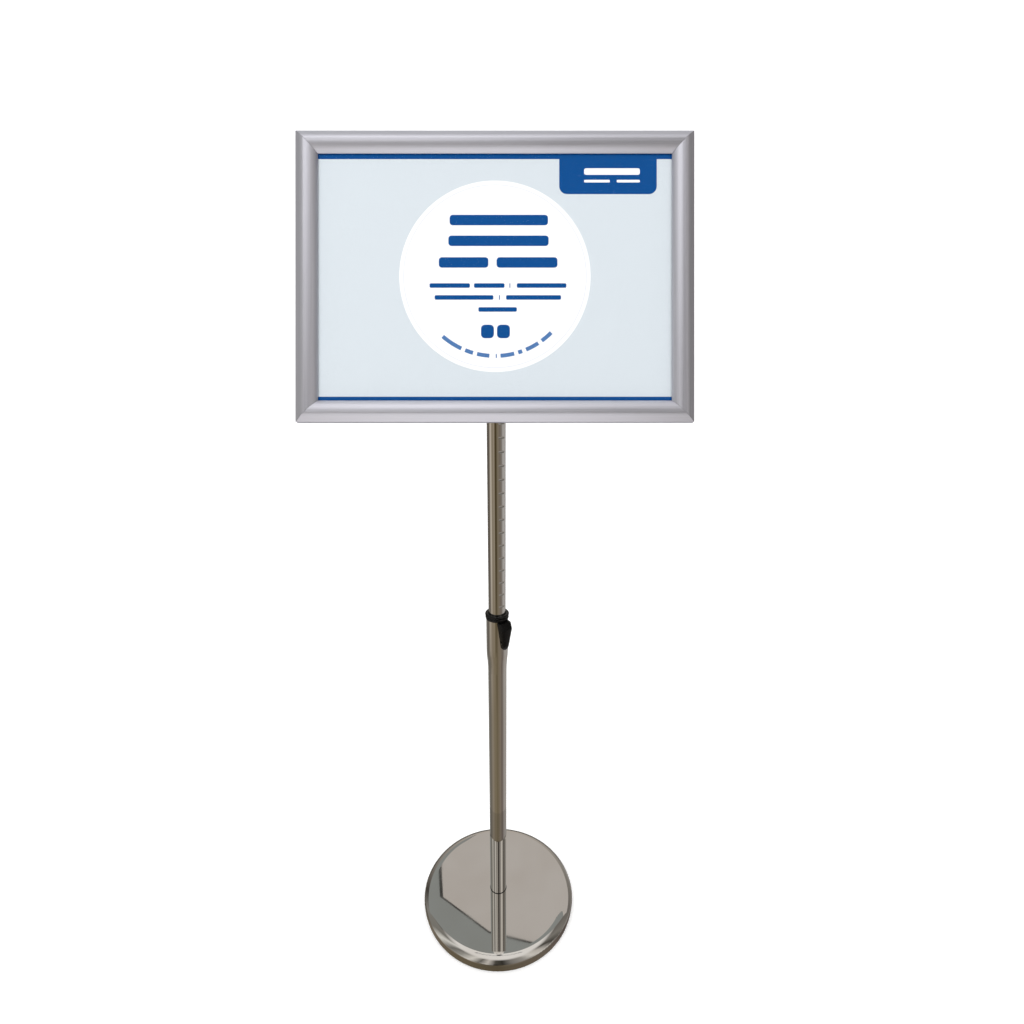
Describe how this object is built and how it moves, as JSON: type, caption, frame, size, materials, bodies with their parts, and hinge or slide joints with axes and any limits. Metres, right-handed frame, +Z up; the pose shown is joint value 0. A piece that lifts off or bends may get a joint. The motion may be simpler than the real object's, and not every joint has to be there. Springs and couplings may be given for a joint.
{
  "type": "sign stand",
  "caption": "Free-standing floor sign stand: weighted chromed foot, telescopic pole with push-down height latch, tilting and turning snap frame for a landscape sheet.",
  "frame": {"origin": "middle of the foot's underside, on the floor", "axes": "+Z up the pole; the sign faces -Y and leans back; +X to the right as seen from in front"},
  "size_m": [0.456, 0.26, 1.1839],
  "materials": {
    "acetal": "black acetal, machined",
    "anodised": "satin silver anodised extrusion",
    "anodised_back": "satin silver anodised extrusion, back profile",
    "black_gasket": "black, thin",
    "black_steel": "black powder coat",
    "brass": "turned brass",
    "cast_iron": "raw casting, black primer",
    "clear_pvc": "clear anti-glare sheet",
    "collar_plastic": "black moulded, gloss",
    "fibre": "vulcanised fibre",
    "foot_chrome": "chromed steel, mirror polished",
    "galvanised": "galvanised strip",
    "knob_plastic": "black moulded knob, satin",
    "latch_plastic": "black moulded, satin",
    "nylon": "black nylon, moulded",
    "panel_plastic": "white polystyrene sheet",
    "paper": "printed sheet, satin",
    "pin_steel": "hardened and ground",
    "rubber": "black, matt",
    "spring_steel": "spring steel",
    "tube_chrome": "chromed steel tube, bright",
    "zinc_steel": "zinc plated"
  },
  "bodies": {
    "column": {"floor_pad": "rubber", "base_weight": "cast_iron", "base_cover": "foot_chrome", "edge_trim": "rubber", "base_washer": "zinc_steel", "base_bolt": "zinc_steel", "tube_gasket": "black_gasket", "tube_plug": "zinc_steel", "outer_tube": "tube_chrome", "guide_sleeve": "acetal", "collar": "collar_plastic", "latch_spring": "spring_steel"},
    "latch": {"latch_slider": "latch_plastic"},
    "lock_pin": {"lock_pin": "pin_steel"},
    "mast": {"inner_tube": "tube_chrome", "foot_bush": "nylon", "mast_plug": "nylon"},
    "tilt": {"tilt_bracket": "black_steel", "tilt_bolt": "zinc_steel", "tilt_washers": "fibre", "friction_washer": "fibre"},
    "knob": {"tilt_knob": "knob_plastic", "knob_insert": "brass"},
    "head": {"swivel_stud": "zinc_steel", "swivel_washer": "zinc_steel", "swivel_nut": "zinc_steel", "cross_bar": "galvanised", "cross_bar_screws": "zinc_steel", "corner_keys": "zinc_steel", "corner_screws": "zinc_steel", "back_panel": "panel_plastic", "poster": "paper", "cover_sheet": "clear_pvc", "back_profile_top": "anodised_back", "back_profile_left": "anodised_back", "back_profile_bottom": "anodised_back", "back_profile_right": "anodised_back", "rail_springs_top": "spring_steel", "rail_springs_left": "spring_steel", "rail_springs_bottom": "spring_steel", "rail_springs_right": "spring_steel"},
    "rail_top": {"snap_rail_top": "anodised"},
    "rail_left": {"snap_rail_left": "anodised"},
    "rail_bottom": {"snap_rail_bottom": "anodised"},
    "rail_right": {"snap_rail_right": "anodised"}
  },
  "joints": [
    {"name": "height_slide", "type": "slide", "parent": "column", "child": "mast", "axis": [0, 0, 1], "range_m": [-0.323, 0.057]},
    {"name": "latch_slide", "type": "slide", "parent": "column", "child": "latch", "axis": [0, 0, -1], "range_m": [0, 0.005], "stiffness_N_per_m": 800, "springref_m": -0.004, "deforming": ["latch_spring"]},
    {"name": "pin_slide", "type": "slide", "parent": "column", "child": "lock_pin", "axis": [0.6018, -0.7986, 0], "range_m": [0, 0.00125]},
    {"name": "head_tilt", "type": "hinge", "parent": "mast", "child": "tilt", "pos_m": [0, 0, 1.012], "axis": [-1, 0, 0], "range_deg": [-19.5, 70.5]},
    {"name": "knob_turn", "type": "hinge", "parent": "tilt", "child": "knob", "pos_m": [0, 0, 1.012], "axis": [1, 0, 0], "range_deg": [0, 180]},
    {"name": "head_swivel", "type": "hinge", "parent": "tilt", "child": "head", "pos_m": [0, 0, 1.012], "axis": [0, -0.9426, 0.3338], "range_deg": [0, 90]},
    {"name": "rail_top_hinge", "type": "hinge", "parent": "head", "child": "rail_top", "pos_m": [0, 0.01438, 1.18142], "axis": [-1, 0, 0], "range_deg": [0, 90], "deforming": ["rail_springs_top"]},
    {"name": "rail_left_hinge", "type": "hinge", "parent": "head", "child": "rail_left", "pos_m": [-0.226, -0.04053, 1.02635], "axis": [0, -0.3338, -0.9426], "range_deg": [0, 90], "deforming": ["rail_springs_left"]},
    {"name": "rail_bottom_hinge", "type": "hinge", "parent": "head", "child": "rail_bottom", "pos_m": [0, -0.09545, 0.87129], "axis": [1, 0, 0], "range_deg": [0, 90], "deforming": ["rail_springs_bottom"]},
    {"name": "rail_right_hinge", "type": "hinge", "parent": "head", "child": "rail_right", "pos_m": [0.226, -0.04053, 1.02635], "axis": [0, 0.3338, 0.9426], "range_deg": [0, 90], "deforming": ["rail_springs_right"]}
  ],
  "couplings": [
    {"joint": "pin_slide", "follows": "latch_slide", "ratio": 0.25}
  ]
}
